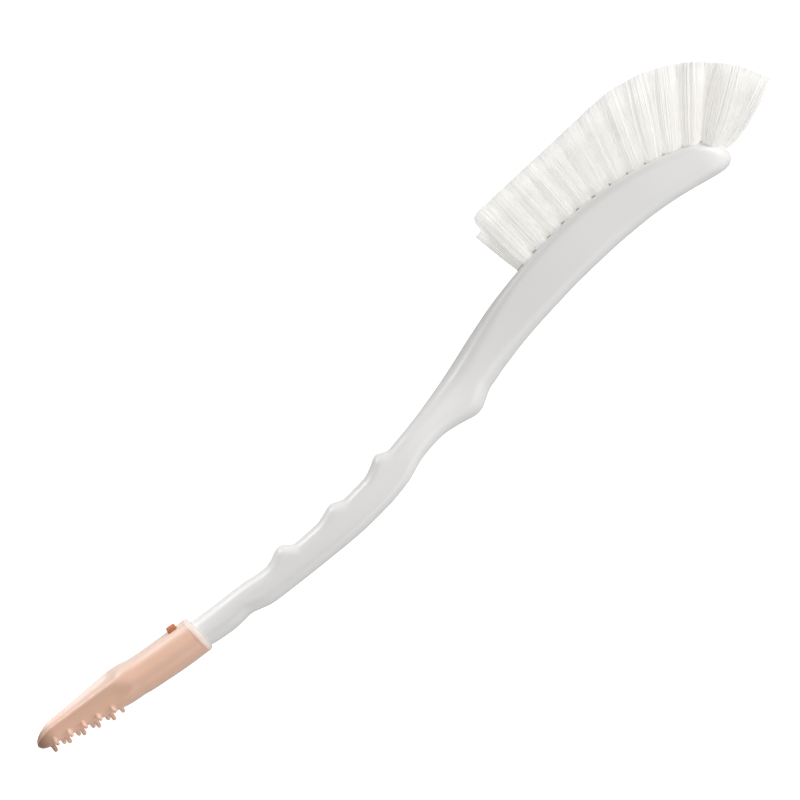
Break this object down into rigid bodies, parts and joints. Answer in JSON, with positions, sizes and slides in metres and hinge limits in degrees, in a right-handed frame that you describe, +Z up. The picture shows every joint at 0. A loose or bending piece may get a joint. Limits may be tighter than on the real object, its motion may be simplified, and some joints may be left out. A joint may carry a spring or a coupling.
{
  "type": "bottle brush",
  "caption": "Curved hand brush for bottles: staggered rows of stapled nylon tufts in a drilled head, and a pull-off finned silicone teat cleaner on the other end.",
  "frame": {"origin": "middle of the brush's bounding box at the level that its flank rests on", "axes": "+X along the brush from the teat cleaner to the bristle head, +Y to the bristle side, +Z up through the flank that faces away from the surface"},
  "size_m": [0.3102, 0.0492, 0.02],
  "materials": {
    "white_moulding": "satin white moulded polypropylene",
    "pink_silicone": "soft satin silicone rubber",
    "nylon_bristle": "white nylon filament"
  },
  "bodies": {
    "brush": {"handle": "white_moulding", "tuft_upper_01": "nylon_bristle", "tuft_upper_02": "nylon_bristle", "tuft_upper_03": "nylon_bristle", "tuft_upper_04": "nylon_bristle", "tuft_upper_05": "nylon_bristle", "tuft_upper_06": "nylon_bristle", "tuft_upper_07": "nylon_bristle", "tuft_upper_08": "nylon_bristle", "tuft_upper_09": "nylon_bristle", "tuft_upper_10": "nylon_bristle", "tuft_upper_11": "nylon_bristle", "tuft_upper_12": "nylon_bristle", "tuft_middle_01": "nylon_bristle", "tuft_middle_02": "nylon_bristle", "tuft_middle_03": "nylon_bristle", "tuft_middle_04": "nylon_bristle", "tuft_middle_05": "nylon_bristle", "tuft_middle_06": "nylon_bristle", "tuft_middle_07": "nylon_bristle", "tuft_middle_08": "nylon_bristle", "tuft_middle_09": "nylon_bristle", "tuft_middle_10": "nylon_bristle", "tuft_middle_11": "nylon_bristle", "tuft_middle_12": "nylon_bristle", "tuft_middle_13": "nylon_bristle", "tuft_lower_01": "nylon_bristle", "tuft_lower_02": "nylon_bristle", "tuft_lower_03": "nylon_bristle", "tuft_lower_04": "nylon_bristle", "tuft_lower_05": "nylon_bristle", "tuft_lower_06": "nylon_bristle", "tuft_lower_07": "nylon_bristle", "tuft_lower_08": "nylon_bristle", "tuft_lower_09": "nylon_bristle", "tuft_lower_10": "nylon_bristle", "tuft_lower_11": "nylon_bristle", "tuft_lower_12": "nylon_bristle"},
    "teat_cleaner": {"teat_cleaner": "pink_silicone"}
  },
  "joints": [
    {"name": "teat_cleaner_pull", "type": "slide", "parent": "brush", "child": "teat_cleaner", "axis": [-0.9888, 0.1495, 0], "range_m": [0, 0.04]}
  ]
}
